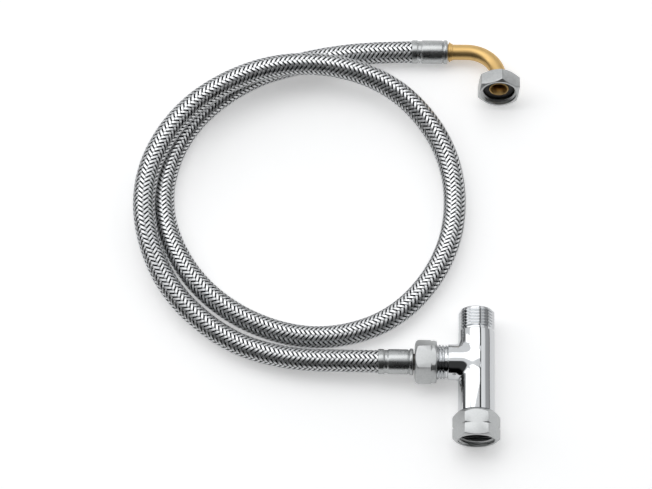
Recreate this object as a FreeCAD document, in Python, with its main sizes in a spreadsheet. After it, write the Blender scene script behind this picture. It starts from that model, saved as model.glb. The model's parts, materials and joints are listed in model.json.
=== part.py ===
"""Braided supply line: a tee adapter with a swivel nut, a braided hose and a bent tube with its nut.

Millimetres, +Z up. The tee lies on its swivel nut's flat with its run along Y: the inlet nut is at
the -Y end, the male outlet at the +Y end, and the branch with the hose points to -X. The origin is
under the middle of the tee and the fittings on its branch, on the surface that they lie on.
"""
import FreeCAD, Part

import math
import os
import re

import Sketcher
from FreeCAD import Rotation, Vector

SIZES = {
    # G1/2 pipe thread, and the nuts' width across flats
    "thread_crest": 10.48,
    "thread_root": 9.32,
    "thread_pitch": 1.814,
    "tee_nut_flats": 24.0,
    "hose_nut_flats": 23.0,
    "edge": 0.4,
    "nut_skim": 0.05,
    "overrun": 1.0,
    # where the tee's two axes cross
    "tee_x": 21.4,
    "tee_y": 7.8,
    "tee_z": 12.0,
    # tee body
    "run_radius": 10.65,
    "run_up": 31.8,
    "run_down": 30.9,
    "outlet_thread": 13.7,
    "water_radius": 6.5,
    "stub_radius": 8.8,
    "stub_length": 8.4,
    "ring_place": 6.4,
    "branch_radius": 10.5,
    "branch_shoulder": 16.3,
    "branch_reach": 26.0,
    "branch_water": 5.5,
    # swivel nut with its snap ring and the inlet washer
    "swivel_length": 16.4,
    "swivel_gap": 0.2,
    "swivel_wall": 4.6,
    "swivel_play": 0.08,
    "swivel_crown_radius": 11.0,
    "swivel_notch": 8.9,
    "swivel_notch_radius": 12.6,
    "swivel_foot": 1.2,
    "swivel_foot_radius": 11.7,
    "notch_slope": 0.4,
    "swivel_crown": 2.6,
    "chamber_radius": 10.7,
    "chamber_end": 10.3,
    "ring_wire": 0.6,
    "ring_play": 0.1,
    "ring_opening": 30.0,
    "washer_radius": 9.1,
    "washer_hole": 5.5,
    "washer_thick": 2.0,
    # coupling nut, its washer and the hose nipple
    "coupling_start": 22.9,
    "coupling_length": 12.7,
    "coupling_shoulder": 7.9,
    "coupling_turn": -34.0,
    "coupling_rim": 1.0,
    "coupling_rim_radius": 11.6,
    "coupling_notch": 3.05,
    "coupling_notch_radius": 12.1,
    "dome_length": 3.1,
    "dome_radius": 8.8,
    "dome_reach": 4.3,
    "coupling_bevel": 0.5,
    "coupling_play": 0.1,
    "seal_radius": 10.0,
    "flange_radius": 10.3,
    "flange_thick": 2.5,
    "neck_radius": 4.8,
    "neck_play": 0.4,
    "stem_radius": 4.0,
    "stem_bore": 3.0,
    "barb_depth": 0.35,
    "barb_pitch": 3.2,
    # crimped ferrules
    "ferrule_gap": 0.6,
    "ferrule_wall": 1.2,
    "tee_sleeve": 7.3,
    "tee_bead": 7.75,
    "tee_ferrule_length": 20.4,
    "elbow_sleeve": 6.9,
    "elbow_bead": 7.05,
    "elbow_ferrule_length": 21.0,
    "bead_length": 2.2,
    "bead_edge": 0.5,
    "band_length": 3.4,
    "crimp_length": 2.6,
    "crimp_depth": 0.2,
    "crimp_slope": 0.25,
    # hose
    "braid_radius": 6.55,
    "liner_radius": 5.7,
    # elbow: places along the hose's axis, then along the leg
    "elbow_y": 202.7,
    "elbow_z": 7.1,
    "elbow_ferrule_end": 4.4,
    "collar_gap": 0.3,
    "collar_radius": 5.75,
    "collar_length": 1.4,
    "socket_radius": 5.1,
    "socket_length": 1.2,
    "socket_depth": 2.0,
    "tube_radius": 4.53,
    "tube_bore": 3.6,
    "bend_radius": 18.8,
    "leg_x": 34.3,
    "leg_tilt": 16.0,
    "leg_end": 27.5,
    "seat_start": 23.4,
    "seat_radius": 9.0,
    "seat_thick": 1.5,
    "spigot_radius": 5.3,
    "lip_radius": 5.6,
    "lip_thick": 0.6,
    "elbow_nut_start": 21.2,
    "elbow_nut_length": 9.6,
    "elbow_nut_wall": 2.0,
    "elbow_nut_chamber": 6.4,
    "elbow_nut_play": 0.35,
    "elbow_nut_mouth": 0.7,
    "elbow_nut_mouth_radius": 10.3,
    "elbow_nut_bevel": 1.3,
    "elbow_nut_face_radius": 11.3,
    "elbow_nut_turn": 22.6,
}

# Corners of the hose's runs, on the hose's axis, from the tee to the elbow.
ROUTE = [
    (-16.0, 7.8, 12.0),
    (-52.0, 7.8, 12.0),
    (-90.0, 9.5, 9.4),
    (-126.5, 22.5, 7.6),
    (-162.0, 56.5, 9.6),
    (-176.0, 109.0, 16.8),
    (-155.0, 156.5, 20.2),
    (-112.0, 185.5, 20.8),
    (-66.0, 191.2, 19.8),
    (-21.5, 177.0, 12.2),
    (8.5, 135.5, 7.4),
    (9.0, 81.5, 6.8),
    (-20.8, 36.8, 6.8),
    (-66.5, 20.8, 6.8),
    (-111.5, 31.8, 6.8),
    (-146.5, 60.5, 6.8),
    (-164.5, 104.5, 6.8),
    (-152.5, 151.0, 6.8),
    (-116.0, 184.5, 6.8),
    (-74.0, 197.5, 6.8),
    (-35.0, 202.7, 7.1),
    (3.2, 202.7, 7.1),
]
ARC_SHARE = 0.45

OUTLET_TURNS = 7
BRANCH_TURNS = 5
SWIVEL_TURNS = 2
ELBOW_TURNS = 1
BARBS = 5

DOC = FreeCAD.newDocument("SupplyLine")
SHEET = DOC.addObject("Spreadsheet::Sheet", "Sizes")


def fill_sheet():
    for row, (alias, size) in enumerate(SIZES.items(), start=1):
        SHEET.set(f"A{row}", alias)
        SHEET.set(f"B{row}", str(size))
        SHEET.setAlias(f"B{row}", alias)
    DOC.recompute()


def bound(formula):
    """Write a formula of the sheet's words as an expression on its cells."""
    return re.sub("[a-z_]+", lambda word: ("Sizes." if word[0] in SIZES else "") + word[0], formula)


# ---- helpers for bodies, sketches and places ----


def new_body(name):
    body = DOC.addObject("PartDesign::Body", name)
    body.Label = name
    return body


def new_sketch(body, name, plane):
    sketch = body.newObject("Sketcher::SketchObject", name)
    origin_plane = next(item for item in body.Origin.OriginFeatures if item.Role == plane)
    sketch.AttachmentSupport = [(origin_plane, "")]
    sketch.MapMode = "FlatFace"
    return sketch


def add_outline(sketch, corners):
    """Draw a closed outline whose corners are pairs of formulas, each bound to the sheet."""
    first = sketch.GeometryCount
    count = len(corners)
    turn = 2 * math.pi / count
    rough = [Vector(9 + math.cos(turn * k), math.sin(turn * k), 0) for k in range(count)]
    sketch.addGeometry(
        [Part.LineSegment(rough[k], rough[(k + 1) % count]) for k in range(count)], False
    )
    sketch.addConstraint(
        [
            Sketcher.Constraint("Coincident", first + k, 2, first + (k + 1) % count, 1)
            for k in range(count)
        ]
    )
    for k, (across, along) in enumerate(corners):
        for kind, formula, size in (
            ("DistanceX", across, rough[k].x),
            ("DistanceY", along, rough[k].y),
        ):
            place = sketch.addConstraint(Sketcher.Constraint(kind, -1, 1, first + k, 1, size))
            sketch.setExpression(f"Constraints[{place}]", bound(formula))


def add_circles(sketch, formulas):
    """Draw circles about the sketch's origin, with their radii bound to the sheet."""
    for radius in formulas:
        circle = sketch.addGeometry(Part.Circle(Vector(), Vector(0, 0, 1), 5), False)
        sketch.addConstraint(Sketcher.Constraint("Coincident", circle, 3, -1, 1))
        place = sketch.addConstraint(Sketcher.Constraint("Radius", circle, 5))
        sketch.setExpression(f"Constraints[{place}]", bound(radius))


def revolve(body, name, outlines, kind="PartDesign::Revolution", plane="XZ_Plane", axis="V_Axis"):
    sketch = new_sketch(body, name + "_outline", plane)
    for corners in outlines:
        add_outline(sketch, corners)
    feature = body.newObject(kind, name)
    feature.Profile = sketch
    feature.ReferenceAxis = (sketch, [axis])
    feature.Angle = 360
    return feature


def groove(body, name, outlines, plane="XZ_Plane", axis="V_Axis"):
    return revolve(body, name, outlines, "PartDesign::Groove", plane, axis)


def place(part, base, rotation):
    """Put a part's origin at a point given by formulas, and turn it."""
    part.Placement.Rotation = rotation
    for axis, formula in zip("xyz", base):
        part.setExpression(f"Placement.Base.{axis}", bound(formula))


def facing(direction, turn=0.0):
    """Rotation that points a part's own Z along a direction, after a turn about that Z."""
    return Rotation(Vector(0, 0, 1), Vector(*direction)) * Rotation(Vector(0, 0, 1), turn)


def leg_facing(turn=0.0):
    """Rotation that points a part's own Z along the elbow's tilted leg."""
    lean = Rotation(Vector(1, 0, 0), 90 - SHEET.leg_tilt)
    return lean * Rotation(Vector(0, 0, 1), turn)


# ---- outlines ----


def thread_corners(start, turns, tip, valley):
    """Corners of a thread's flanks as (radius, place) formulas, from start towards larger places."""
    corners = []
    for turn in range(turns):
        for radius, share in ((tip, 0.15), (valley, 0.45), (valley, 0.55), (tip, 0.85)):
            corners.append((radius, f"{start} + {turn + share} * thread_pitch"))
    return corners


def swapped(corners, sign=""):
    """Exchange the two formulas of each corner, with a sign on the new first one."""
    return [(f"{sign} ( {along} )", across) for across, along in corners]


def barb_corners(start, count):
    """Corners of a barbed stem as (radius, place) formulas, from its root to its tip."""
    corners = []
    for barb in range(count):
        corners.append(("stem_radius", f"{start} + {barb} * barb_pitch"))
        corners.append(("stem_radius - barb_depth", f"{start} + {barb + 1} * barb_pitch"))
    return corners


def hex_nut(name, flats, length, cuts):
    """A hexagon prism from 0 to length on its own Z, with turned cuts."""
    body = new_body(name)
    prism = body.newObject("PartDesign::AdditivePrism", name + "_hexagon")
    prism.Polygon = 6
    prism.setExpression("Circumradius", bound(f"{flats} / sqrt( 3 )"))
    prism.setExpression("Height", bound(length))
    groove(body, name + "_turning", cuts)
    return body


def end_bevel(flats, end, inward, inner, depth):
    """Outline that bevels a nut's corners, from a radius at its end to the corners further in."""
    outward = "-" if inward == "+" else "+"
    past = f"{end} {outward} overrun"
    edge = f"{end} {inward} {depth}"
    corner = f"{flats} / sqrt( 3 ) + nut_skim"
    return [(inner, end), (inner, past), (flats, past), (flats, edge), (corner, edge)]


def notch(flats, middle, radius):
    """Outline of a turned V around a nut, which only cuts its corners."""
    half = f"( {flats} - {radius} ) * notch_slope"
    return [(radius, middle), (flats, f"{middle} - {half}"), (flats, f"{middle} + {half}")]


def turned_ring(name, inner, outer, thick):
    """A plain ring from 0 to its thickness on its own Z."""
    body = new_body(name)
    corners = [(inner, "0"), (outer, "0"), (outer, thick), (inner, thick)]
    revolve(body, name + "_turning", [corners])
    return body


# ---- tee ----


def tee_body():
    body = new_body("tee_body")
    stub_end = "-1 * ( run_down + stub_length )"
    slot = "-1 * ( run_down + ring_place )"
    run = [
        ("0", stub_end),
        ("stub_radius - edge", stub_end),
        ("stub_radius", f"{stub_end} + edge"),
        ("stub_radius", f"{slot} - ring_wire - ring_play"),
        ("stub_radius - ring_wire - ring_play", f"{slot} - ring_wire - ring_play"),
        ("stub_radius - ring_wire - ring_play", f"{slot} + ring_wire + ring_play"),
        ("stub_radius", f"{slot} + ring_wire + ring_play"),
        ("stub_radius", "-1 * run_down"),
        ("run_radius - edge", "-1 * run_down"),
        ("run_radius", "edge - run_down"),
        ("run_radius", "run_up - outlet_thread"),
    ]
    run += thread_corners("run_up - outlet_thread", OUTLET_TURNS, "thread_crest", "thread_root")
    run += [
        ("thread_crest", "run_up - thread_crest + thread_root"),
        ("thread_root", "run_up"),
        ("0", "run_up"),
    ]
    revolve(body, "run", [run], plane="XY_Plane")
    branch = [("0", "0"), ("branch_radius", "0"), ("branch_radius", "branch_shoulder")]
    branch += thread_corners("branch_shoulder", BRANCH_TURNS, "thread_crest", "thread_root")
    branch += [
        ("thread_crest", "branch_reach - edge"),
        ("thread_crest - edge", "branch_reach"),
        ("0", "branch_reach"),
    ]
    revolve(body, "branch", [swapped(branch, "-1 *")], plane="XY_Plane", axis="H_Axis")
    run_water = [
        ("0", f"{stub_end} - overrun"),
        ("water_radius", f"{stub_end} - overrun"),
        ("water_radius", "run_up + overrun"),
        ("0", "run_up + overrun"),
    ]
    groove(body, "run_water", [run_water], plane="XY_Plane")
    branch_water = [
        ("0", "0"),
        ("branch_water", "0"),
        ("branch_water", "branch_reach + overrun"),
        ("0", "branch_reach + overrun"),
    ]
    outline = swapped(branch_water, "-1 *")
    groove(body, "branch_bore", [outline], plane="XY_Plane", axis="H_Axis")
    place(body, ("tee_x", "tee_y", "tee_z"), Rotation())
    return body


def swivel_nut():
    flats = "tee_nut_flats"
    end = "swivel_length"
    bore = [
        ("0", "-1 * overrun"),
        ("stub_radius + swivel_play", "-1 * overrun"),
        ("stub_radius + swivel_play", "swivel_wall"),
        ("chamber_radius", "swivel_wall"),
        ("chamber_radius", "chamber_end"),
        ("thread_root", "chamber_end"),
    ]
    bore += thread_corners("chamber_end", SWIVEL_TURNS, "thread_root", "thread_crest")
    bore += [
        ("thread_root", f"{end} - swivel_foot"),
        ("chamber_radius", end),
        ("chamber_radius", f"{end} + overrun"),
        ("0", f"{end} + overrun"),
    ]
    cuts = [
        bore,
        end_bevel(flats, "0", "+", "swivel_crown_radius", "swivel_crown"),
        notch(flats, "swivel_notch", "swivel_notch_radius"),
        end_bevel(flats, end, "-", "swivel_foot_radius", "swivel_foot"),
    ]
    body = hex_nut("swivel_nut", flats, end, cuts)
    place(body, ("tee_x", "tee_y - run_down - swivel_gap", "tee_z"), facing((0, -1, 0)))
    return body


def swivel_snap_ring():
    body = new_body("swivel_snap_ring")
    ring = body.newObject("PartDesign::AdditiveTorus", "ring_wire_bent")
    ring.setExpression("Radius1", bound("stub_radius"))
    ring.setExpression("Radius2", bound("ring_wire"))
    ring.setExpression("Angle3", bound("360 - ring_opening"))
    place(body, ("tee_x", "tee_y - run_down - ring_place", "tee_z"), facing((0, -1, 0), 105))
    return body


def swivel_washer():
    body = turned_ring("swivel_washer", "washer_hole", "washer_radius", "washer_thick")
    place(body, ("tee_x", "tee_y - run_down - stub_length", "tee_z"), facing((0, -1, 0)))
    return body


# ---- hose fittings on the branch ----


def coupling_nut():
    flats = "hose_nut_flats"
    end = "coupling_length"
    bore = [
        ("0", "-1 * overrun"),
        ("thread_crest + coupling_play + overrun", "-1 * overrun"),
        ("thread_crest + coupling_play", "coupling_bevel"),
        ("thread_crest + coupling_play", "coupling_shoulder"),
        ("neck_radius + neck_play", "coupling_shoulder"),
        ("neck_radius + neck_play", f"{end} + overrun"),
        ("0", f"{end} + overrun"),
    ]
    dome = [
        (f"{flats} / sqrt( 3 ) + nut_skim", f"{end} - dome_length"),
        (flats, f"{end} - dome_length"),
        (flats, f"{end} + overrun"),
        ("dome_radius", f"{end} + overrun"),
        ("dome_radius", end),
        ("dome_radius + 0.36 * dome_reach", f"{end} - 0.1 * dome_length"),
        ("dome_radius + 0.55 * dome_reach", f"{end} - 0.33 * dome_length"),
        ("dome_radius + 0.8 * dome_reach", f"{end} - 0.65 * dome_length"),
    ]
    cuts = [
        bore,
        end_bevel(flats, "0", "+", "coupling_rim_radius", "coupling_rim"),
        notch(flats, "coupling_notch", "coupling_notch_radius"),
        dome,
    ]
    body = hex_nut("coupling_nut", flats, end, cuts)
    turn = SHEET.coupling_turn
    place(body, ("tee_x - coupling_start", "tee_y", "tee_z"), facing((-1, 0, 0), turn))
    return body


def coupling_washer():
    body = turned_ring("coupling_washer", "washer_hole", "seal_radius", "washer_thick")
    place(body, ("tee_x - branch_reach", "tee_y", "tee_z"), facing((-1, 0, 0)))
    return body


def hose_nipple():
    body = new_body("hose_nipple")
    face = "coupling_start + coupling_length + ferrule_gap + ferrule_wall - branch_reach - washer_thick"
    tip = f"{face} + {BARBS} * barb_pitch"
    corners = [
        ("stem_bore", "0"),
        ("flange_radius", "0"),
        ("flange_radius", "flange_thick"),
        ("neck_radius", "flange_thick"),
        ("neck_radius", face),
    ]
    corners += barb_corners(face, BARBS)
    corners += [("stem_bore", tip)]
    revolve(body, "nipple_turning", [corners])
    place(body, ("tee_x - branch_reach - washer_thick", "tee_y", "tee_z"), facing((-1, 0, 0)))
    return body


def ferrule(name, sleeve, bead, length):
    """A crimped sleeve from its end wall at 0 to its open mouth, over the hose's end."""
    crimp_end = f"{length} - band_length"
    crimp_start = f"{crimp_end} - crimp_length"
    corners = [
        ("neck_radius", "0"),
        (f"{bead} - bead_edge", "0"),
        (f"{bead} - 0.3 * bead_edge", "0.3 * bead_edge"),
        (bead, "bead_edge"),
        (bead, "bead_length - bead_edge"),
        (f"{bead} - 0.3 * bead_edge", "bead_length - 0.3 * bead_edge"),
        (sleeve, "bead_length"),
        (sleeve, f"{crimp_start} - crimp_slope"),
        (f"{sleeve} - crimp_depth", crimp_start),
        (f"{sleeve} - crimp_depth", crimp_end),
        (sleeve, f"{crimp_end} + crimp_slope"),
        (sleeve, f"{length} - 0.4 * bead_edge"),
        (f"{sleeve} - 0.4 * bead_edge", length),
        ("braid_radius", length),
        ("braid_radius", "ferrule_wall"),
        ("neck_radius", "ferrule_wall"),
    ]
    body = new_body(name)
    revolve(body, name + "_turning", [corners])
    return body


def tee_ferrule():
    body = ferrule("tee_ferrule", "tee_sleeve", "tee_bead", "tee_ferrule_length")
    start = "tee_x - coupling_start - coupling_length - ferrule_gap"
    place(body, (start, "tee_y", "tee_z"), facing((-1, 0, 0)))
    return body


# ---- hose ----


def hose_path():
    """The hose's line: straight runs joined by arcs that are as large as the runs allow."""
    points = [Vector(*point) for point in ROUTE]
    edges, radii = [], []
    last = points[0]
    for before, corner, after in zip(points, points[1:], points[2:]):
        back, ahead = before - corner, after - corner
        share = ARC_SHARE * min(back.Length, ahead.Length)
        half_turn = (math.pi - back.getAngle(ahead)) / 2
        radius = share / math.tan(half_turn)
        back.normalize()
        ahead.normalize()
        middle = (back + ahead).normalize()
        start, end = corner + back * share, corner + ahead * share
        top = corner + middle * (radius / math.cos(half_turn) - radius)
        edges.append(Part.LineSegment(last, start).toShape())
        edges.append(Part.Arc(start, top, end).toShape())
        radii.append(radius)
        last = end
    edges.append(Part.LineSegment(last, points[-1]).toShape())
    print("hose arc radii", [round(radius) for radius in radii])
    return Part.Wire(edges)


def hose_layer(path, outer, inner):
    """One round layer of the hose, swept along its line as a ring."""
    start, direction = Vector(*ROUTE[0]), Vector(*ROUTE[1]) - Vector(*ROUTE[0])
    rims = [Part.Wire([Part.Circle(start, direction, radius).toShape()]) for radius in (outer, inner)]
    solid = path.makePipe(Part.Face(rims, "Part::FaceMakerBullseye"))
    section = math.pi * (outer**2 - inner**2) * path.Length
    print(f"hose length {path.Length:.1f}, volume over section {solid.Volume / section:.4f}")
    return solid


def hose_part(name, shape):
    part = DOC.addObject("Part::Feature", name)
    part.Label = name
    part.Shape = shape
    return part


def hose():
    path = hose_path()
    layers = (
        ("hose_liner", SHEET.liner_radius, SHEET.stem_radius),
        ("hose_braid", SHEET.braid_radius, SHEET.liner_radius),
    )
    return [hose_part(name, hose_layer(path, outer, inner)) for name, outer, inner in layers]


# ---- elbow ----


def elbow_ferrule():
    body = ferrule("elbow_ferrule", "elbow_sleeve", "elbow_bead", "elbow_ferrule_length")
    place(body, ("elbow_ferrule_end", "elbow_y", "elbow_z"), facing((-1, 0, 0)))
    return body


def elbow_barb():
    body = new_body("elbow_barb")
    collar_end = "socket_length + collar_length"
    face = f"{collar_end} + collar_gap + ferrule_wall"
    corners = [
        ("tube_radius", "0"),
        ("socket_radius", "0"),
        ("socket_radius", "socket_length"),
        ("collar_radius", "socket_length"),
        ("collar_radius", collar_end),
        ("neck_radius", collar_end),
        ("neck_radius", face),
    ]
    corners += barb_corners(face, BARBS)
    corners += [
        ("stem_bore", f"{face} + {BARBS} * barb_pitch"),
        ("stem_bore", "socket_depth"),
        ("tube_radius", "socket_depth"),
    ]
    revolve(body, "barb_turning", [corners])
    socket = "elbow_ferrule_end + collar_gap + collar_length + socket_length"
    place(body, (socket, "elbow_y", "elbow_z"), facing((-1, 0, 0)))
    return body


def elbow_tube():
    """The bent tube, from the barb's socket along +X and then down its own -Y."""
    body = new_body("elbow_tube")
    start = "elbow_ferrule_end + collar_gap + collar_length + socket_length - socket_depth"
    bend_start = f"leg_x - bend_radius - ( {start} )"
    path = new_sketch(body, "tube_path", "XY_Plane")
    line, arc, leg = path.addGeometry(
        [
            Part.LineSegment(Vector(0, 0, 0), Vector(10, 0, 0)),
            Part.ArcOfCircle(Part.Circle(Vector(10, -19, 0), Vector(0, 0, 1), 19), 0, math.pi / 2),
            Part.LineSegment(Vector(29, -19, 0), Vector(29, -27, 0)),
        ],
        False,
    )
    path.addConstraint(
        [
            Sketcher.Constraint("Coincident", line, 1, -1, 1),
            Sketcher.Constraint("Horizontal", line),
            Sketcher.Constraint("Vertical", leg),
            Sketcher.Constraint("Tangent", line, 2, arc, 2),
            Sketcher.Constraint("Tangent", arc, 1, leg, 1),
        ]
    )
    for kind, ends, size, formula in (
        ("DistanceX", (line, 1, line, 2), 10, bend_start),
        ("DistanceY", (leg, 2, -1, 1), 27, "leg_end - lip_thick"),
        ("Radius", (arc,), 19, "bend_radius"),
    ):
        number = path.addConstraint(Sketcher.Constraint(kind, *ends, size))
        path.setExpression(f"Constraints[{number}]", bound(formula))
    section = new_sketch(body, "tube_section", "YZ_Plane")
    add_circles(section, ("tube_radius", "tube_bore"))
    pipe = body.newObject("PartDesign::AdditivePipe", "tube_pipe")
    pipe.Profile = section
    pipe.Spine = (path, ["Edge1", "Edge2", "Edge3"])
    place(body, (start, "elbow_y", "elbow_z"), Rotation(Vector(1, 0, 0), -SHEET.leg_tilt))
    return body


def place_on_leg(part, distance, turn=0.0):
    """Put a part's origin on the elbow's leg, at a distance from the hose's axis."""
    base = (
        "leg_x",
        f"elbow_y - ( {distance} ) * cos( leg_tilt )",
        f"elbow_z + ( {distance} ) * sin( leg_tilt )",
    )
    place(part, base, leg_facing(turn))


def elbow_flange():
    body = new_body("elbow_flange")
    end = "leg_end - seat_start"
    corners = [
        ("tube_radius", "0"),
        ("seat_radius", "0"),
        ("seat_radius", "seat_thick"),
        ("spigot_radius", "seat_thick"),
        ("spigot_radius", f"{end} - lip_thick"),
        ("lip_radius", f"{end} - lip_thick"),
        ("lip_radius", f"{end} - 0.5 * edge"),
        ("lip_radius - 0.5 * edge", end),
        ("tube_bore", end),
        ("tube_bore", f"{end} - lip_thick"),
        ("tube_radius", f"{end} - lip_thick"),
    ]
    revolve(body, "flange_turning", [corners])
    place_on_leg(body, "seat_start")
    return body


def elbow_washer():
    body = turned_ring("elbow_washer", "spigot_radius", "washer_radius", "washer_thick")
    place_on_leg(body, "seat_start + seat_thick")
    return body


def elbow_nut():
    flats = "hose_nut_flats"
    end = "elbow_nut_length"
    bore = [
        ("0", "-1 * overrun"),
        ("tube_radius + elbow_nut_play", "-1 * overrun"),
        ("tube_radius + elbow_nut_play", "elbow_nut_wall"),
        ("thread_crest", "elbow_nut_wall"),
        ("thread_crest", "elbow_nut_chamber"),
        ("thread_root", "elbow_nut_chamber"),
    ]
    bore += thread_corners("elbow_nut_chamber", ELBOW_TURNS, "thread_root", "thread_crest")
    bore += [
        ("thread_root", f"{end} - elbow_nut_mouth"),
        ("elbow_nut_mouth_radius", end),
        ("elbow_nut_mouth_radius", f"{end} + overrun"),
        ("0", f"{end} + overrun"),
    ]
    cuts = [
        bore,
        end_bevel(flats, "0", "+", "elbow_nut_face_radius", "elbow_nut_bevel"),
        end_bevel(flats, end, "-", "elbow_nut_face_radius", "elbow_nut_bevel"),
    ]
    body = hex_nut("elbow_nut", flats, end, cuts)
    place_on_leg(body, "elbow_nut_start", SHEET.elbow_nut_turn)
    return body


# ---- whole part ----


def check(parts):
    """Stop if a feature failed or a part's shape is missing or broken."""
    for item in DOC.Objects:
        if {"Invalid", "Error"} & set(item.State):
            raise RuntimeError(f"{item.Label} failed: {item.State}")
    for part in parts:
        shape = part.Shape
        if shape.isNull() or not shape.isValid() or not shape.Solids:
            raise RuntimeError(f"{part.Label} has no valid solid")


def main():
    fill_sheet()
    parts = [
        tee_body(),
        swivel_nut(),
        swivel_snap_ring(),
        swivel_washer(),
        coupling_nut(),
        coupling_washer(),
        hose_nipple(),
        tee_ferrule(),
        *hose(),
        elbow_ferrule(),
        elbow_barb(),
        elbow_tube(),
        elbow_flange(),
        elbow_washer(),
        elbow_nut(),
    ]
    DOC.recompute()
    check(parts)
    os.makedirs("parts", exist_ok=True)
    for part in parts:
        box = part.Shape.BoundBox
        print(f"{part.Label:18s} volume {part.Shape.Volume:9.1f}  z {box.ZMin:.2f} to {box.ZMax:.2f}")
        part.Shape.exportStep(f"parts/{part.Label}.step")


main()
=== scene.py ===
"""Braided supply line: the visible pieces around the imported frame, as an add-on run as a script."""

import json
import math

import bmesh
import bpy
import numpy as np
from bpy.props import FloatProperty, FloatVectorProperty, IntProperty, PointerProperty
from bpy.types import Operator, Panel, PropertyGroup
from mathutils import Matrix, Vector

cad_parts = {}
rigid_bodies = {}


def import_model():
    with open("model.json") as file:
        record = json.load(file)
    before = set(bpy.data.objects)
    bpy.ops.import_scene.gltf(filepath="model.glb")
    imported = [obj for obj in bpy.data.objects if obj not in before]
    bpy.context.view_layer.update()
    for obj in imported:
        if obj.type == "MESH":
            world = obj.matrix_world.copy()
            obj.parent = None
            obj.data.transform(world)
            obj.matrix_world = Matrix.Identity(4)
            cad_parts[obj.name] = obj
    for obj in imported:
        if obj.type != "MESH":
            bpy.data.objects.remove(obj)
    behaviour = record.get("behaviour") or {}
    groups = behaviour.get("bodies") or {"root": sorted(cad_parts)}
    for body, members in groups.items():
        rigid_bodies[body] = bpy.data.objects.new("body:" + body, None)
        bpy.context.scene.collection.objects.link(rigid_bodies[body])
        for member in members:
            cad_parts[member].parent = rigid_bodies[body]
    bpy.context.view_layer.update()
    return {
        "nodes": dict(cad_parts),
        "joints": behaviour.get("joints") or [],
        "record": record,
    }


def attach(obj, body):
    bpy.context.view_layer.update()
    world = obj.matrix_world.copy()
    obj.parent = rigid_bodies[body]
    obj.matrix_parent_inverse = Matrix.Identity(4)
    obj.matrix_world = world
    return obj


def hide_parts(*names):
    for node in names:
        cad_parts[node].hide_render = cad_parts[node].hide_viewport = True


bl_info = {
    "name": "Braided supply line",
    "version": (1, 0, 0),
    "blender": (4, 5, 0),
    "location": "3D View > Sidebar > Supply line",
    "description": "Builds a braided water hose with its tee, nuts, ferrules and bent brass tube",
    "category": "Add Mesh",
}

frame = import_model()
JOINTS = {joint["name"]: joint for joint in frame["joints"]}
MOUNTS = {mount["name"]: mount for mount in frame["record"]["mounts"]}

# Corners of the hose's line, from the tee to the bent tube.
ROUTE = [
    (-0.0160, 0.0078, 0.0120),
    (-0.0520, 0.0078, 0.0120),
    (-0.0900, 0.0095, 0.0094),
    (-0.1265, 0.0225, 0.0076),
    (-0.1620, 0.0565, 0.0096),
    (-0.1760, 0.1090, 0.0168),
    (-0.1550, 0.1565, 0.0202),
    (-0.1120, 0.1855, 0.0208),
    (-0.0660, 0.1912, 0.0198),
    (-0.0215, 0.1770, 0.0122),
    (0.0085, 0.1355, 0.0074),
    (0.0090, 0.0815, 0.0068),
    (-0.0208, 0.0368, 0.0068),
    (-0.0665, 0.0208, 0.0068),
    (-0.1115, 0.0318, 0.0068),
    (-0.1465, 0.0605, 0.0068),
    (-0.1645, 0.1045, 0.0068),
    (-0.1525, 0.1510, 0.0068),
    (-0.1160, 0.1845, 0.0068),
    (-0.0740, 0.1975, 0.0068),
    (-0.0350, 0.2027, 0.0071),
    (0.0032, 0.2027, 0.0071),
]


# ---- sizes and colours ----


def size(label, note, millimetres):
    return FloatProperty(
        name=label, description=note, default=millimetres / 1000, unit="LENGTH", precision=5
    )


def colour(label, note, value):
    return FloatVectorProperty(
        name=label, description=note, default=value, size=3, subtype="COLOR", min=0, max=1
    )


def count(label, note, value):
    return IntProperty(name=label, description=note, default=value, min=1)


class SUPPLYLINE_PG_braid(PropertyGroup):
    strands: count("Strands each way", "How many strands of wires wind each way", 12)
    wires: count("Wires", "How many wires lie side by side in a strand", 6)
    sections: count("Sections per crossing", "How finely a strand follows the weave", 2)
    pitch: size("Pitch", "Hose length in which a strand goes round once", 33.0)
    radius: size("Middle radius", "Radius half way between the upper and lower strands", 6.2)
    wave: size("Wave", "How far a strand rises or falls from the middle radius", 0.19)
    width: size("Strand width", "Width of a strand's row of wires", 1.27)
    wire: size("Wire", "Diameter of one wire", 0.3)
    liner: size("Liner radius", "Outside radius of the rubber tube under the wires", 5.5)
    outside: size("Outside diameter", "Diameter of the whole hose", 13.1)


class SUPPLYLINE_PG_thread(PropertyGroup):
    crest: size("Crest radius", "Outside radius of the pipe thread", 10.48)
    root: size("Root radius", "Radius at the bottom of the pipe thread", 9.32)
    pitch: size("Pitch", "Distance from one turn of the thread to the next", 1.814)


class SUPPLYLINE_PG_tee(PropertyGroup):
    run: size("Run radius", "Outside radius of the straight tube", 10.65)
    branch: size("Branch radius", "Outside radius of the side tube", 10.5)
    fillet: size("Fillet", "How far the soft corner between the tubes reaches", 2.4)
    stub: size("Stub radius", "Radius of the end that the swivel nut turns on", 8.8)
    stub_length: size("Stub length", "Length of the end that the swivel nut turns on", 8.4)
    outlet_thread: size("Outlet thread", "Length of the thread on the outlet", 13.7)
    branch_thread: size("Branch thread", "Length of the thread on the branch", 9.7)
    run_water: size("Run bore radius", "Radius of the straight water way", 6.5)
    branch_water: size("Branch bore radius", "Radius of the side water way", 5.5)


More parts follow.
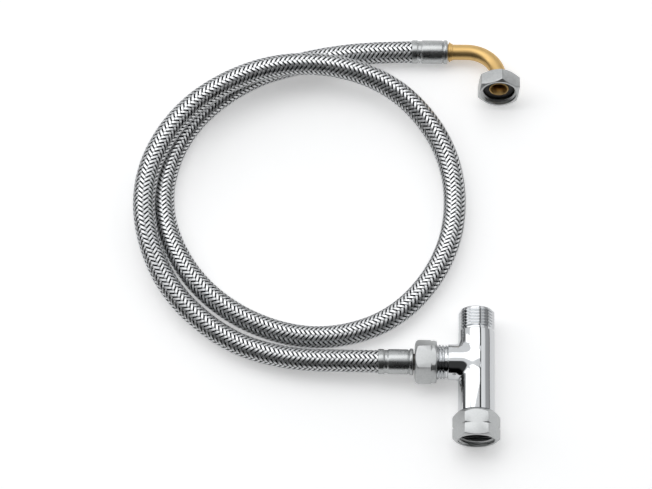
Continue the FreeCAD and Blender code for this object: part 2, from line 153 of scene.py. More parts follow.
class SUPPLYLINE_PG_nuts(PropertyGroup):
    edge: size("Edge rounding", "Radius on the nuts' edges", 0.22)
    crown: size("Crown", "Depth of the slope at the swivel nut's back", 2.6)
    crown_radius: size("Crown radius", "Radius at which that slope starts", 11.0)
    foot: size("Foot", "Depth of the slope at the swivel nut's mouth", 1.2)
    foot_radius: size("Foot radius", "Radius at which that slope starts", 11.7)
    notch: size("Notch", "Distance of the notch from the swivel nut's back", 8.9)
    notch_radius: size("Notch radius", "Radius at the bottom of the swivel nut's notch", 12.6)
    dome: size("Dome", "Length of the coupling nut's round shoulder", 3.1)
    dome_radius: size("Dome radius", "Radius of the coupling nut's flat end", 8.8)
    groove: size("Groove", "Distance of the groove from the coupling nut's mouth", 3.05)
    groove_radius: size("Groove radius", "Radius at the bottom of the coupling nut's groove", 12.1)
    rim_radius: size("Rim radius", "Radius of the coupling nut's mouth", 11.5)
    collar_radius: size("Collar radius", "Radius of the coupling nut between mouth and groove", 12.5)
    bevel: size("Elbow nut bevel", "Depth of the slopes at the elbow nut's ends", 1.3)
    face_radius: size("Elbow nut face", "Radius at which those slopes start", 11.3)
    mouth_radius: size("Elbow nut mouth", "Radius of the elbow nut's mouth", 10.2)


class SUPPLYLINE_PG_ferrules(PropertyGroup):
    bead: size("Bead", "Length of the rolled bead at the ferrule's closed end", 2.2)
    band: size("Band", "Length of the band at the ferrule's mouth", 3.4)
    crimp: size("Crimp", "Length of the pressed ring beside the band", 2.6)
    depth: size("Crimp depth", "Depth of the pressed ring", 0.55)
    mouth: size("Mouth radius", "Radius of the mouth, against the wires", 6.5)
    hole: size("Hole radius", "Radius of the hole in the closed end", 4.8)


class SUPPLYLINE_PG_elbow(PropertyGroup):
    tube: size("Tube radius", "Outside radius of the bent tube", 4.53)
    bore: size("Tube bore", "Inside radius of the bent tube", 3.6)
    bend: size("Bend radius", "Radius of the tube's bend, at its middle line", 18.8)
    collar: size("Collar radius", "Radius of the collar against the ferrule", 5.75)
    collar_length: size("Collar length", "Length of that collar", 1.4)
    socket: size("Socket radius", "Radius of the ring that the tube is brazed into", 5.1)
    lip: size("Lip radius", "Radius of the lip that holds the washer", 5.6)


class SUPPLYLINE_PG_colours(PropertyGroup):
    chrome: colour("Chrome", "Polished plate on the tee", (0.60, 0.61, 0.62))
    satin: colour("Satin chrome", "Plate on the nuts", (0.55, 0.56, 0.56))
    ferrule: colour("Ferrule steel", "Stainless steel of the ferrules", (0.44, 0.45, 0.45))
    wire: colour("Wire", "Stainless steel of the woven wires", (0.92, 0.93, 0.94))
    brass: colour("Brass", "Brass of the tube and its fittings", (0.70, 0.47, 0.19))
    rubber: colour("Rubber", "Rubber of the washers and the liner", (0.012, 0.012, 0.013))
    floor: colour("Floor", "Floor that the object lies on", (0.85, 0.85, 0.85))


class SUPPLYLINE_PG_sizes(PropertyGroup):
    braid: PointerProperty(type=SUPPLYLINE_PG_braid)
    thread: PointerProperty(type=SUPPLYLINE_PG_thread)
    tee: PointerProperty(type=SUPPLYLINE_PG_tee)
    nuts: PointerProperty(type=SUPPLYLINE_PG_nuts)
    ferrules: PointerProperty(type=SUPPLYLINE_PG_ferrules)
    elbow: PointerProperty(type=SUPPLYLINE_PG_elbow)
    colours: PointerProperty(type=SUPPLYLINE_PG_colours)


# ---- places read from the frame ----


class Line:
    """An axis of the object: a point on it, its direction, and how far CAD nodes reach along it."""

    def __init__(self, point, direction):
        self.point = Vector(point)
        self.direction = Vector(direction).normalized()
        turn = Vector((0, 0, 1)).rotation_difference(self.direction)
        self.matrix = Matrix.Translation(self.point) @ turn.to_matrix().to_4x4()

    def corners(self, node):
        """A node's corners in the line's own frame, with z along the line."""
        back = np.array(self.matrix.inverted())
        mesh = frame["nodes"][node].data
        places = np.empty(len(mesh.vertices) * 3)
        mesh.vertices.foreach_get("co", places)
        return places.reshape(-1, 3) @ back[:3, :3].T + back[:3, 3]

    def span(self, node):
        """Where the node starts and ends along the line."""
        along = self.corners(node)[:, 2]
        return float(along.min()), float(along.max())

    def reach(self, node):
        """The node's largest distance from the line, and the direction of one point there."""
        places = self.corners(node)
        away = np.hypot(places[:, 0], places[:, 1])
        far = int(away.argmax())
        return float(away[far]), math.atan2(places[far, 1], places[far, 0])


def tee_run():
    """The tee's straight axis, from its middle towards the outlet."""
    outlet = MOUNTS["outlet"]
    middle = Vector(outlet["pos_m"])
    middle.y = JOINTS["coupling_nut_turn"]["pos_m"][1]
    return Line(middle, outlet["axis"])


def tee_branch():
    """The branch's axis, from the tee's middle towards the hose."""
    return Line(tee_run().point, (-1, 0, 0))


def swivel_line():
    return Line(tee_run().point, -tee_run().direction)


def elbow_hose():
    """The hose's axis at its far end, from the end of the hose towards the bend."""
    return Line(ROUTE[-1], (1, 0, 0))


def elbow_leg():
    """The bent tube's leg, from where its axis crosses the hose's axis towards the nut's mouth."""
    inlet = MOUNTS["elbow_inlet"]
    mouth, direction = Vector(inlet["pos_m"]), Vector(inlet["axis"])
    distance = (mouth.z - ROUTE[-1][2]) / direction.z
    return Line(mouth - distance * direction, direction)


# ---- mesh helpers ----


def finish_piece(name, mesh, body, slot, replaced, material, sharp=35):
    """Show a mesh as a piece that stands for CAD nodes, smooth but for its sharp edges."""
    mesh.name = name
    mesh.materials.clear()
    mesh.materials.append(material)
    mesh.shade_smooth()
    mesh.set_sharp_from_angle(angle=math.radians(sharp))
    piece = bpy.data.objects.new(name, mesh)
    bpy.context.scene.collection.objects.link(piece)
    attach(piece, body)
    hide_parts(*replaced)
    return piece


def as_mesh(bm, name="part"):
    mesh = bpy.data.meshes.new(name)
    bm.to_mesh(mesh)
    bm.free()
    return mesh


def joined(name, *meshes):
    """One mesh from several closed ones."""
    bm = bmesh.new()
    for mesh in meshes:
        bm.from_mesh(mesh)
    return as_mesh(bm, name)


def lathe(profile, line, steps=160):
    """A turned solid: a closed outline of (radius, place, rounding) spun about a line."""
    bm = bmesh.new()
    corners = [bm.verts.new((radius, 0, place)) for radius, place, _ in profile]
    for first, second in zip(corners, corners[1:] + corners[:1]):
        bm.edges.new((first, second))
    for rounding in sorted({entry[2] for entry in profile if entry[2]}):
        chosen = [corner for corner, entry in zip(corners, profile) if entry[2] == rounding]
        bmesh.ops.bevel(
            bm,
            geom=chosen,
            offset=rounding,
            offset_type="OFFSET",
            affect="VERTICES",
            segments=4,
            profile=0.5,
            material=-1,
        )
    bmesh.ops.spin(
        bm,
        geom=bm.verts[:] + bm.edges[:],
        cent=(0, 0, 0),
        axis=(0, 0, 1),
        angle=2 * math.pi,
        steps=steps,
        use_merge=True,
    )
    bmesh.ops.remove_doubles(bm, verts=bm.verts, dist=1e-6)
    bmesh.ops.recalc_face_normals(bm, faces=bm.faces)
    bmesh.ops.transform(bm, matrix=line.matrix, verts=bm.verts)
    return as_mesh(bm)


def prism(radius, start, end, corner, line):
    """A hexagonal bar along a line, with one corner in a given direction."""
    bm = bmesh.new()
    turn = Matrix.Translation((0, 0, start)) @ Matrix.Rotation(corner, 4, "Z")
    # a circle's first corner lies on +Y
    turn = turn @ Matrix.Rotation(-math.pi / 2, 4, "Z")
    bmesh.ops.create_circle(bm, cap_ends=True, segments=6, radius=radius, matrix=turn)
    side = bmesh.ops.extrude_face_region(bm, geom=bm.faces[:])
    raised = [item for item in side["geom"] if isinstance(item, bmesh.types.BMVert)]
    bmesh.ops.translate(bm, verts=raised, vec=(0, 0, end - start))
    bmesh.ops.recalc_face_normals(bm, faces=bm.faces)
    bmesh.ops.transform(bm, matrix=line.matrix, verts=bm.verts)
    return as_mesh(bm)


def boolean(mesh, other, operation):
    """The union, difference or intersection of two closed meshes."""
    pair = [bpy.data.objects.new("cut", data) for data in (mesh, other)]
    for item in pair:
        bpy.context.scene.collection.objects.link(item)
    cut = pair[0].modifiers.new("cut", "BOOLEAN")
    cut.operation = operation
    cut.object = pair[1]
    cut.solver = "EXACT"
    depsgraph = bpy.context.evaluated_depsgraph_get()
    result = bpy.data.meshes.new_from_object(pair[0].evaluated_get(depsgraph))
    for item in pair:
        bpy.data.objects.remove(item)
    bpy.data.meshes.remove(mesh)
    bpy.data.meshes.remove(other)
    return result


def soften(mesh, width, sharper_than=25, segments=3, within=None):
    """Round a mesh's sharp edges, or those that a test of their middles picks."""
    bm = bmesh.new()
    bm.from_mesh(mesh)
    bmesh.ops.remove_doubles(bm, verts=bm.verts, dist=2e-5)
    bmesh.ops.dissolve_degenerate(bm, edges=bm.edges, dist=1e-5)
    limit = math.radians(sharper_than)
    chosen = [
        edge
        for edge in bm.edges
        if edge.is_manifold
        and edge.calc_face_angle(0) > limit
        and (within is None or within((edge.verts[0].co + edge.verts[1].co) / 2))
    ]
    bmesh.ops.bevel(
        bm,
        geom=chosen,
        offset=width,
        offset_type="OFFSET",
        affect="EDGES",
        segments=segments,
        profile=0.5,
        clamp_overlap=False,
        material=-1,
    )
    bpy.data.meshes.remove(mesh)
    return as_mesh(bm)


def thread(line, start, end, base, tip, steps=72):
    """A helical thread's ridge from a base radius to its tip, tapered off at both ends."""
    pitch = bpy.context.scene.supply_line.thread.pitch
    rise = tip - base
    profile = [(-0.02, -0.48), (0.06, -0.43), (0.8, -0.14), (1.0, -0.06)]
    profile += [(share, -place) for share, place in reversed(profile)]
    bm = bmesh.new()
    first = start + 0.5 * pitch
    turns = (end - start) / pitch - 1
    corners = [
        bm.verts.new((base + share * rise, 0, first + place * pitch)) for share, place in profile
    ]
    for one, other in zip(corners, corners[1:] + corners[:1]):
        bm.edges.new((one, other))
    total = int(turns * steps)
    bmesh.ops.spin(
        bm,
        geom=bm.verts[:] + bm.edges[:],
        cent=(0, 0, 0),
        axis=(0, 0, 1),
        dvec=(0, 0, pitch / steps),
        angle=2 * math.pi * total / steps,
        steps=total,
        use_merge=False,
    )
    bmesh.ops.holes_fill(bm, edges=[edge for edge in bm.edges if edge.is_boundary], sides=0)
    bmesh.ops.recalc_face_normals(bm, faces=bm.faces)
    for vert in bm.verts:
        x, y, z = vert.co
        part = (math.atan2(y, x) / (2 * math.pi)) % 1
        turn = round((z - first) / pitch - part) + part
        grown = max(0.0, min(1.0, min(turn, total / steps - turn) / 0.4))
        radius = math.hypot(x, y)
        kept = base + (radius - base) * grown * (2 - grown)
        vert.co.x *= kept / radius
        vert.co.y *= kept / radius
    bmesh.ops.transform(bm, matrix=line.matrix, verts=bm.verts)
    return as_mesh(bm)


# ---- materials ----


def group_sockets(tree, inputs, outputs):
    for name, kind, value in inputs:
        socket = tree.interface.new_socket(name, in_out="INPUT", socket_type=kind)
        if value is not None:
            socket.default_value = value
    for name, kind in outputs:
        tree.interface.new_socket(name, in_out="OUTPUT", socket_type=kind)
    return tree.nodes.new("NodeGroupInput"), tree.nodes.new("NodeGroupOutput")


def surface_group():
    """Soft mottling: a colour that wanders a little, and a roughness between two limits."""
    tree = bpy.data.node_groups.get("Mottled finish")
    if tree:
        return tree
    tree = bpy.data.node_groups.new("Mottled finish", "ShaderNodeTree")
    start, end = group_sockets(
        tree,
        [
            ("Vector", "NodeSocketVector", None),
            ("Scale", "NodeSocketFloat", 60.0),
            ("Color", "NodeSocketColor", (0.8, 0.8, 0.8, 1)),
            ("Darker", "NodeSocketFloat", 0.9),
            ("Smooth", "NodeSocketFloat", 0.1),
            ("Rough", "NodeSocketFloat", 0.2),
        ],
        [("Color", "NodeSocketColor"), ("Roughness", "NodeSocketFloat")],
    )
    nodes, links = tree.nodes, tree.links
    noise = nodes.new("ShaderNodeTexNoise")
    noise.inputs["Detail"].default_value = 4
    noise.inputs["Roughness"].default_value = 0.6
    spread = nodes.new("ShaderNodeMapRange")
    spread.inputs["From Min"].default_value = 0.3
    spread.inputs["From Max"].default_value = 0.7
    links.new(start.outputs["Vector"], noise.inputs["Vector"])
    links.new(start.outputs["Scale"], noise.inputs["Scale"])
    links.new(noise.outputs["Fac"], spread.inputs["Value"])
    links.new(start.outputs["Smooth"], spread.inputs["To Min"])
    links.new(start.outputs["Rough"], spread.inputs["To Max"])
    tone = nodes.new("ShaderNodeMapRange")
    tone.inputs["From Min"].default_value = 0.3
    tone.inputs["From Max"].default_value = 0.7
    tone.inputs["To Max"].default_value = 1.0
    links.new(start.outputs["Darker"], tone.inputs["To Min"])
    links.new(noise.outputs["Fac"], tone.inputs["Value"])
    scale = nodes.new("ShaderNodeVectorMath")
    scale.operation = "SCALE"
    links.new(start.outputs["Color"], scale.inputs[0])
    links.new(tone.outputs["Result"], scale.inputs["Scale"])
    links.new(scale.outputs["Vector"], end.inputs["Color"])
    links.new(spread.outputs["Result"], end.inputs["Roughness"])
    return tree


def lines_group():
    """Fine tool lines: a height that changes fast along the stretched vector's dense axes."""
    tree = bpy.data.node_groups.get("Tool lines")
    if tree:
        return tree
    tree = bpy.data.node_groups.new("Tool lines", "ShaderNodeTree")
    start, end = group_sockets(
        tree,
        [
            ("Vector", "NodeSocketVector", None),
            ("Scale", "NodeSocketFloat", 1.0),
            ("Pits", "NodeSocketFloat", 0.3),
        ],
        [("Height", "NodeSocketFloat")],
    )
    nodes, links = tree.nodes, tree.links
    lines = nodes.new("ShaderNodeTexNoise")
    lines.inputs["Detail"].default_value = 3
    pits = nodes.new("ShaderNodeTexNoise")
    pits.inputs["Scale"].default_value = 2600
    pits.inputs["Detail"].default_value = 2
    where = nodes.new("ShaderNodeTexCoord")
    links.new(where.outputs["Object"], pits.inputs["Vector"])
    links.new(start.outputs["Vector"], lines.inputs["Vector"])
    links.new(start.outputs["Scale"], lines.inputs["Scale"])
    blend = nodes.new("ShaderNodeMix")
    blend.data_type = "FLOAT"
    links.new(start.outputs["Pits"], blend.inputs["Factor"])
    links.new(lines.outputs["Fac"], blend.inputs["A"])
    links.new(pits.outputs["Fac"], blend.inputs["B"])
    links.new(blend.outputs["Result"], end.inputs["Height"])
    return tree


def finish_material(name, colour_value, metal, smooth, rough, darker, mottle, lines, direction):
    """A finish of mottled colour and roughness under fine tool lines.

    lines is (density along the direction, density across it, bump distance, share of pits).
    """
    material = bpy.data.materials.get(name)
    if material:
        return material
    material = bpy.data.materials.new(name)
    material.use_nodes = True
    nodes, links = material.node_tree.nodes, material.node_tree.links
    shader = nodes["Principled BSDF"]
    shader.inputs["Metallic"].default_value = metal
    where = nodes.new("ShaderNodeTexCoord")
    mottled = nodes.new("ShaderNodeGroup")
    mottled.node_tree = surface_group()
    mottled.inputs["Scale"].default_value = mottle
    mottled.inputs["Color"].default_value = (*colour_value, 1)
    mottled.inputs["Darker"].default_value = darker
    mottled.inputs["Smooth"].default_value = smooth
    mottled.inputs["Rough"].default_value = rough
    links.new(where.outputs["Object"], mottled.inputs["Vector"])
    links.new(mottled.outputs["Color"], shader.inputs["Base Color"])
    links.new(mottled.outputs["Roughness"], shader.inputs["Roughness"])
    along, across, distance, pits = lines
    turned = nodes.new("ShaderNodeMapping")
    turned.vector_type = "TEXTURE"
    lean = Vector((0, 0, 1)).rotation_difference(Vector(direction))
    turned.inputs["Rotation"].default_value = lean.to_euler()
    turned.inputs["Scale"].default_value = (1 / across, 1 / across, 1 / along)
    grooves = nodes.new("ShaderNodeGroup")
    grooves.node_tree = lines_group()
    grooves.inputs["Pits"].default_value = pits
    bump = nodes.new("ShaderNodeBump")
    bump.inputs["Distance"].default_value = distance
    links.new(where.outputs["Object"], turned.inputs["Vector"])
    links.new(turned.outputs["Vector"], grooves.inputs["Vector"])
    links.new(grooves.outputs["Height"], bump.inputs["Height"])
    links.new(bump.outputs["Normal"], shader.inputs["Normal"])
    return material


def colours():
    return bpy.context.scene.supply_line.colours


def chrome(direction):
    return finish_material(
        "Polished chrome", colours().chrome, 1, 0.05, 0.09, 0.97, 40, (300, 60, 4e-6, 0.2), direction
    )


def satin(name, direction):
    return finish_material(
        name, colours().satin, 1, 0.34, 0.5, 0.82, 700, (2500, 300, 1.8e-5, 0.5), direction
    )


def stainless(name, direction):
    return finish_material(
        name, colours().ferrule, 1, 0.22, 0.34, 0.88, 220, (400, 3000, 1.2e-5, 0.3), direction
    )


def brass(name, direction, along=200, across=2200):
    return finish_material(
        name, colours().brass, 1, 0.36, 0.5, 0.86, 130, (along, across, 1.2e-5, 0.35), direction
    )


def rubber(name):
    return finish_material(
        name, colours().rubber, 0, 0.45, 0.62, 0.7, 300, (900, 900, 3e-5, 0.6), (0, 0, 1)
    )


# ---- hose ----


def hose_curve(name, radius):
    """The hose's line as a smooth curve, round when it has a radius."""
    curve = bpy.data.curves.new(name, "CURVE")
    curve.dimensions = "3D"
    spline = curve.splines.new("NURBS")
    spline.points.add(len(ROUTE) - 1)
    for point, place in zip(spline.points, ROUTE):
        point.co = (*place, 1)
    spline.order_u = 3
    spline.use_endpoint_u = True
    curve.resolution_u = 48
    curve.bevel_depth = radius
    curve.bevel_resolution = 6
    curve.use_fill_caps = radius > 0
    piece = bpy.data.objects.new(name, curve)
    bpy.context.scene.collection.objects.link(piece)
    return piece


def hose_points():
    """Points along the hose's curve, close together."""
    bare = hose_curve("hose_line", 0)
    depsgraph = bpy.context.evaluated_depsgraph_get()
    mesh = bpy.data.meshes.new_from_object(bare.evaluated_get(depsgraph))
    places = np.empty(len(mesh.vertices) * 3)
    mesh.vertices.foreach_get("co", places)
    bpy.data.objects.remove(bare)
    bpy.data.meshes.remove(mesh)
    return places.reshape(-1, 3)


class HoseFrame:
    """Even stations along the hose, each with its place, direction and two sideways directions."""

    def __init__(self, spacing):
        points = hose_points()
        steps = np.linalg.norm(np.diff(points, axis=0), axis=1)
        run = np.concatenate([[0], np.cumsum(steps)])
        self.length = run[-1]
        self.stations = np.linspace(0, self.length, int(self.length / spacing) + 1)
        self.middle = np.stack([np.interp(self.stations, run, points[:, k]) for k in range(3)], 1)
        ahead = np.gradient(self.middle, self.stations, axis=0)
        self.ahead = ahead / np.linalg.norm(ahead, axis=1)[:, None]
        side = np.array((0.0, 0.0, 1.0))
        sides = []
        for direction in self.ahead:
            side = side - direction * (side @ direction)
            side /= np.linalg.norm(side)
            sides.append(side)
        self.side = np.array(sides)
        self.other = np.cross(self.ahead, self.side)

    def at(self, place, angle, radius):
        """Points at distances along the hose, angles round it and radii from its line."""
        place = np.clip(place, 0, self.length)
        middle, side, other = (
            np.stack([np.interp(place, self.stations, table[:, k]) for k in range(3)], 1)
            for table in (self.middle, self.side, self.other)
        )
        turned = side * np.cos(angle)[:, None] + other * np.sin(angle)[:, None]
        return middle + turned * radius[:, None]


def strand_template(braid, hose_length):
    """A straight strand: a closed row of wires, as (across, height, along)."""
    wires, width, wire = braid.wires, braid.width, braid.wire
    top = []
    for step in range(2 * wires + 1):
        height = wire / 2 if step % 2 else 0.12 * wire
        top.append((width * (step / (2 * wires) - 0.5), height))
    inset = 0.6 * wire
    ring = top + [(width / 2 - inset, -wire / 2), (inset - width / 2, -wire / 2)]
    crossing = braid.pitch / (2 * braid.strands)
    sections = int(hose_length / crossing * braid.sections)
    bm = bmesh.new()
    bmesh.ops.create_grid(bm, x_segments=len(ring), y_segments=sections, size=0.5)
    for vert in bm.verts:
        corner = round((vert.co.x + 0.5) * len(ring)) % len(ring)
        along = (vert.co.y + 0.5) * hose_length
        vert.co = (*ring[corner], along)
    bmesh.ops.remove_doubles(bm, verts=bm.verts, dist=1e-6)
    bmesh.ops.holes_fill(bm, edges=[edge for edge in bm.edges if edge.is_boundary], sides=0)
    bmesh.ops.recalc_face_normals(bm, faces=bm.faces)
    return as_mesh(bm, "strand")


def strand_places(template, braid, hose, number, way):
    """Where a strand's corners lie once it winds round the hose, over and under the others.

    way is 1 or -1. A strand goes over two strands of the other way and then under two, and the
    next strand does the same one strand later, which gives rows along the hose.
    """
    across, height, along = template.T
    strands, pitch = braid.strands, braid.pitch
    slope = math.atan2(2 * math.pi * braid.radius, pitch)
    place = along - across * math.sin(slope)
    around = along / pitch * 2 * math.pi + across * math.cos(slope) / braid.radius
    angle = way * around + 2 * math.pi * number / strands
    crossed = strands * (angle / (2 * math.pi) + way * place / pitch)
    phase = (number + crossed - 0.5) / 4 * 2 * math.pi
    lift = way * np.clip(1.45 * np.cos(phase), -1, 1)
    return hose.at(place, angle, braid.radius + braid.wave * lift + height), lift


# ---- operators ----


def sizes():
    return bpy.context.scene.supply_line


class SUPPLYLINE_OT_stage(Operator):
    """Lay the floor and set up the camera, the lamps and the sky"""

    bl_idname = "supply_line.stage"
    bl_label = "Stage"

    def execute(self, context):
        self.camera()
        self.floor()
        self.lamps()
        self.sky()
        context.scene.view_settings.view_transform = "Standard"
        return {"FINISHED"}

    def camera(self):
        data = bpy.data.cameras.new("camera")
        data.sensor_width = 36
        data.lens = 303.7
        data.clip_end = 20
        camera = bpy.data.objects.new("camera", data)
        camera.location = (-0.05416, -1.03721, 2.99851)
        camera.rotation_euler = (math.radians(20.5), 0, math.radians(0.6))
        bpy.context.scene.collection.objects.link(camera)
        bpy.context.scene.camera = camera

    def floor(self):
        bm = bmesh.new()
        under = Matrix.Translation((-0.07, 0.1, -0.0001))
        bmesh.ops.create_grid(bm, x_segments=8, y_segments=8, size=3, matrix=under)
        mesh = as_mesh(bm, "floor")
        pale = finish_material(
            "Pale floor", colours().floor, 0, 0.6, 0.75, 0.99, 3, (300, 300, 1e-5, 0.5), (0, 0, 1)
        )
        shader = pale.node_tree.nodes["Principled BSDF"]
        shader.inputs["Emission Color"].default_value = (1, 1, 1, 1)
        shader.inputs["Emission Strength"].default_value = 0.37
        mesh.materials.append(pale)
        floor = bpy.data.objects.new("floor", mesh)
        bpy.context.scene.collection.objects.link(floor)

    def lamps(self):
        for name, place, width, depth, power in (
            ("overhead_lamp", (-0.35, 0.9, 1.9), 2.2, 1.3, 10),
            ("left_lamp", (-2.0, 0.5, 1.5), 1.0, 1.4, 6),
        ):
            lamp = bpy.data.lights.new(name, "AREA")
            lamp.shape = "RECTANGLE"
            lamp.size, lamp.size_y = width, depth
            lamp.energy = power
            holder = bpy.data.objects.new(name, lamp)
            holder.location = place
            aim = Vector((-0.07, 0.09, 0)) - Vector(place)
            holder.rotation_euler = aim.to_track_quat("-Z", "Y").to_euler()
            bpy.context.scene.collection.objects.link(holder)

    def sky(self):
        """A pale room: bright behind and above, dark low in front and on the left, one dark seam."""
        world = bpy.data.worlds.new("studio")
        world.use_nodes = True
        nodes, links = world.node_tree.nodes, world.node_tree.links
        where = nodes.new("ShaderNodeTexCoord")
        tilt = nodes.new("ShaderNodeVectorMath")
        tilt.operation = "DOT_PRODUCT"
        tilt.inputs[1].default_value = (0.14, 0.40, 0.90)
        ramp = nodes.new("ShaderNodeValToRGB")
        ramp.color_ramp.interpolation = "EASE"
        ramp.color_ramp.elements[0].position = 0.53
        ramp.color_ramp.elements[0].color = (0.015, 0.015, 0.017, 1)
        ramp.color_ramp.elements[1].position = 0.66
        ramp.color_ramp.elements[1].color = (0.80, 0.81, 0.82, 1)
        half = nodes.new("ShaderNodeMapRange")
        half.inputs["From Min"].default_value = -1
        links.new(where.outputs["Generated"], tilt.inputs[0])
        links.new(tilt.outputs["Value"], half.inputs["Value"])
        links.new(half.outputs["Result"], ramp.inputs["Fac"])
        parts = nodes.new("ShaderNodeSeparateXYZ")
        links.new(where.outputs["Generated"], parts.inputs["Vector"])
        round_run = nodes.new("ShaderNodeMath")
        round_run.operation = "ARCTAN2"
        links.new(parts.outputs["X"], round_run.inputs[0])
        links.new(parts.outputs["Z"], round_run.inputs[1])
        panels = nodes.new("ShaderNodeMapRange")
        panels.inputs["From Min"].default_value = -math.pi
        panels.inputs["From Max"].default_value = math.pi
        links.new(round_run.outputs["Value"], panels.inputs["Value"])
        bands = nodes.new("ShaderNodeValToRGB")
        for degrees, value in ((-100, 1.15), (-45, 1.2), (-12, 1.25), (17, 1.15), (20, 0.03), (27, 0.03)):
            self.stop(bands, degrees, value)
        for degrees, value in ((30, 1.5), (52, 1.3), (58, 0.62), (84, 0.55), (92, 0.05), (104, 0.05)):
            self.stop(bands, degrees, value)
        links.new(panels.outputs["Result"], bands.inputs["Fac"])
        both = nodes.new("ShaderNodeVectorMath")
        both.operation = "MULTIPLY"
        links.new(ramp.outputs["Color"], both.inputs[0])
        links.new(bands.outputs["Color"], both.inputs[1])
        front = nodes.new("ShaderNodeMapRange")
        front.interpolation_type = "SMOOTHSTEP"
        front.inputs["From Min"].default_value = -0.22
        front.inputs["From Max"].default_value = -0.12
        front.inputs["To Min"].default_value = 0.06
        links.new(parts.outputs["Y"], front.inputs["Value"])
        shaded = nodes.new("ShaderNodeVectorMath")
        shaded.operation = "SCALE"
        links.new(both.outputs["Vector"], shaded.inputs[0])
        links.new(front.outputs["Result"], shaded.inputs["Scale"])
        links.new(shaded.outputs["Vector"], nodes["Background"].inputs["Color"])
        bpy.context.scene.world = world

    def stop(self, ramp, degrees, value):
        element = ramp.color_ramp.elements.new((degrees + 180) / 360)
        element.color = (value, value, value, 1)


class SUPPLYLINE_OT_hose(Operator):
    """Lay the rubber liner and weave the wires round it"""

    bl_idname = "supply_line.hose"
    bl_label = "Braided hose"

    def execute(self, context):
        braid = sizes().braid
        liner = hose_curve("hose_rubber", braid.liner)
        black = finish_material(
            "Liner rubber", (0.004, 0.004, 0.004), 0, 0.8, 0.95, 0.7, 300, (900, 900, 3e-5, 0.6), (0, 0, 1)
        )
        black.node_tree.nodes["Principled BSDF"].inputs["Specular IOR Level"].default_value = 0.1
        liner.data.materials.append(black)
        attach(liner, "line")
        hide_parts("hose_liner")
        crossing = braid.pitch / (2 * braid.strands)
        hose = HoseFrame(crossing / braid.sections)
        template = strand_template(braid, hose.length)
        straight = np.empty(len(template.vertices) * 3)
        template.vertices.foreach_get("co", straight)
        straight = straight.reshape(-1, 3)
        wire = self.wire()
        group = joined("strands", template, template, template)
        for way, label in ((1, "left"), (-1, "right")):
            for first in range(0, braid.strands, 3):
                strands = [
                    strand_places(straight, braid, hose, first + more, way) for more in range(3)
                ]
                mesh = group.copy()
                places = np.concatenate([places for places, _ in strands])
                mesh.vertices.foreach_set("co", places.ravel())
                # the lift also paints shade on the wires, darker where a strand dives under the others
                lift = mesh.attributes.new("lift", "FLOAT", "POINT")
                lift.data.foreach_set("value", np.concatenate([lifts for _, lifts in strands]))
                if way < 0:
                    mesh.flip_normals()
                mesh.update()
                name = f"braid_{label}_{first // 3 + 1}"
                finish_piece(name, mesh, "line", "hose_braid", ["hose_braid"], wire, sharp=180)
        bpy.data.meshes.remove(group)
        bpy.data.meshes.remove(template)
        return {"FINISHED"}


    def wire(self):
        """Bright wires with painted shade: their colour darkens to near black where they dive under the
        others.
        """
        material = finish_material(
            "Woven wire", colours().wire, 1, 0.34, 0.46, 0.82, 260, (900, 900, 6e-6, 0.4), (0, 0, 1)
        )
        nodes, links = material.node_tree.nodes, material.node_tree.links
        # painted shade: the strand's lift darkens the base colour towards the under-crossings
        lift = nodes.new("ShaderNodeAttribute")
        lift.attribute_name = "lift"
        shade = nodes.new("ShaderNodeMapRange")
        shade.inputs["From Min"].default_value = -0.6
        shade.inputs["From Max"].default_value = 0.45
        shade.inputs["To Min"].default_value = 0.03
        dark = nodes.new("ShaderNodeVectorMath")
        dark.operation = "SCALE"
        shader = nodes["Principled BSDF"]
        links.new(lift.outputs["Fac"], shade.inputs["Value"])
        links.new(shader.inputs["Base Color"].links[0].from_socket, dark.inputs[0])
        links.new(shade.outputs["Result"], dark.inputs["Scale"])
        links.new(dark.outputs["Vector"], shader.inputs["Base Color"])
        return material


